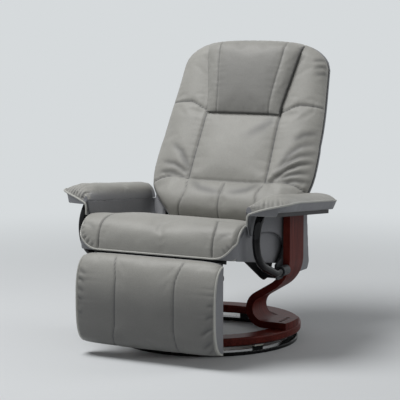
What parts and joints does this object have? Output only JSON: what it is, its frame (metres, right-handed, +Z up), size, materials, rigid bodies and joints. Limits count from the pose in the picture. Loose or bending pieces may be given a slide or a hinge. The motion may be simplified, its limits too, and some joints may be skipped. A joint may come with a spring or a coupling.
{
  "type": "swivel recliner",
  "caption": "Push-back swivel recliner with padded arms, head pillow and lifting footrest, on bentwood legs and a round wooden base.",
  "frame": {"origin": "on the floor, where the swivel axis meets it", "axes": "+Z up, the chair faces -Y, +X is the viewer's right when looking at its front"},
  "size_m": [0.8212, 0.8801, 0.9859],
  "materials": {
    "grey_leather": "soft semi-matt grain",
    "shaded_leather": "soft semi-matt grain",
    "cherry_wood": "stained and lacquered",
    "plywood": "raw",
    "black_board": "covered in black cloth",
    "black_steel": "gloss black",
    "grey_steel": "satin dark grey",
    "black_bolt": "black oxide",
    "zinc_steel": "zinc plated",
    "shoe_nylon": "natural nylon"
  },
  "bodies": {
    "floor_base": {"floor_ring": "black_steel", "ring_posts": "black_steel", "glide_shoes": "shoe_nylon"},
    "turntable": {"track_ring": "black_steel", "track_screws": "zinc_steel", "wood_ring": "cherry_wood", "leg_right": "cherry_wood", "leg_left": "cherry_wood", "foot_bolts": "black_bolt", "leg_bracket_right": "grey_steel", "leg_bracket_left": "grey_steel", "bracket_bolts": "black_bolt", "outrigger_right": "black_steel", "outrigger_left": "black_steel", "side_plate_right": "black_steel", "side_plate_left": "black_steel", "cross_tube_front": "black_steel", "cross_tube_rear": "black_steel", "arm_board_right": "black_board", "arm_board_left": "black_board", "arm_screws": "zinc_steel", "arm_tube_right": "black_steel", "arm_tube_left": "black_steel", "arm_panel_right": "shaded_leather", "arm_panel_left": "shaded_leather", "arm_pad_right": "grey_leather", "arm_pad_left": "grey_leather"},
    "seat": {"seat_rail_right": "black_steel", "seat_rail_left": "black_steel", "link_hanger_right": "black_steel", "link_hanger_left": "black_steel", "seat_frame": "shaded_leather", "seat_deck": "plywood", "seat_cushion": "grey_leather", "link_rivets": "zinc_steel", "back_pivots": "zinc_steel"},
    "front_links": {"front_link_right": "black_steel", "front_link_left": "black_steel"},
    "rear_links": {"rear_link_right": "black_steel", "rear_link_left": "black_steel"},
    "carrier": {"carrier_right": "black_steel", "carrier_left": "black_steel", "carrier_tube": "black_steel", "carrier_rivets": "zinc_steel"},
    "footrest": {"foot_bracket_right": "black_steel", "foot_bracket_left": "black_steel", "foot_board": "black_board", "foot_pad": "grey_leather"},
    "back": {"back_arm_right": "black_steel", "back_arm_left": "black_steel", "back_board": "plywood", "back_shell": "shaded_leather", "back_cushion": "grey_leather", "head_pillow": "grey_leather"}
  },
  "joints": [
    {"name": "base_swivel", "type": "hinge", "parent": "floor_base", "child": "turntable", "pos_m": [0, 0, 0], "axis": [0, 0, 1], "continuous": true},
    {"name": "seat_slide", "type": "slide", "parent": "turntable", "child": "seat", "axis": [0, -0.986, 0.1668], "range_m": [0, 0.0501]},
    {"name": "back_recline", "type": "hinge", "parent": "seat", "child": "back", "pos_m": [0, 0.121, 0.338], "axis": [-1, 0, 0], "range_deg": [0, 24]},
    {"name": "front_link_swing", "type": "hinge", "parent": "seat", "child": "front_links", "pos_m": [0, -0.318, 0.294], "axis": [-1, 0, 0], "range_deg": [0, 110.1]},
    {"name": "rear_link_swing", "type": "hinge", "parent": "seat", "child": "rear_links", "pos_m": [0, -0.228, 0.279], "axis": [-1, 0, 0], "range_deg": [0, 110.1]},
    {"name": "carrier_level", "type": "hinge", "parent": "front_links", "child": "carrier", "pos_m": [0, -0.28586, 0.2557], "axis": [1, 0, 0], "range_deg": [0, 110.1]},
    {"name": "footrest_turn", "type": "hinge", "parent": "carrier", "child": "footrest", "pos_m": [0, -0.352, 0.308], "axis": [-1, 0, 0], "range_deg": [0, 80.1]}
  ],
  "couplings": [
    {"joint": "seat_slide", "follows": "back_recline", "m_per_rad": 0.11937},
    {"joint": "front_link_swing", "follows": "back_recline", "ratio": 4.5833},
    {"joint": "rear_link_swing", "follows": "back_recline", "ratio": 4.5833},
    {"joint": "carrier_level", "follows": "back_recline", "ratio": 4.5833},
    {"joint": "footrest_turn", "follows": "back_recline", "ratio": 3.3333}
  ]
}
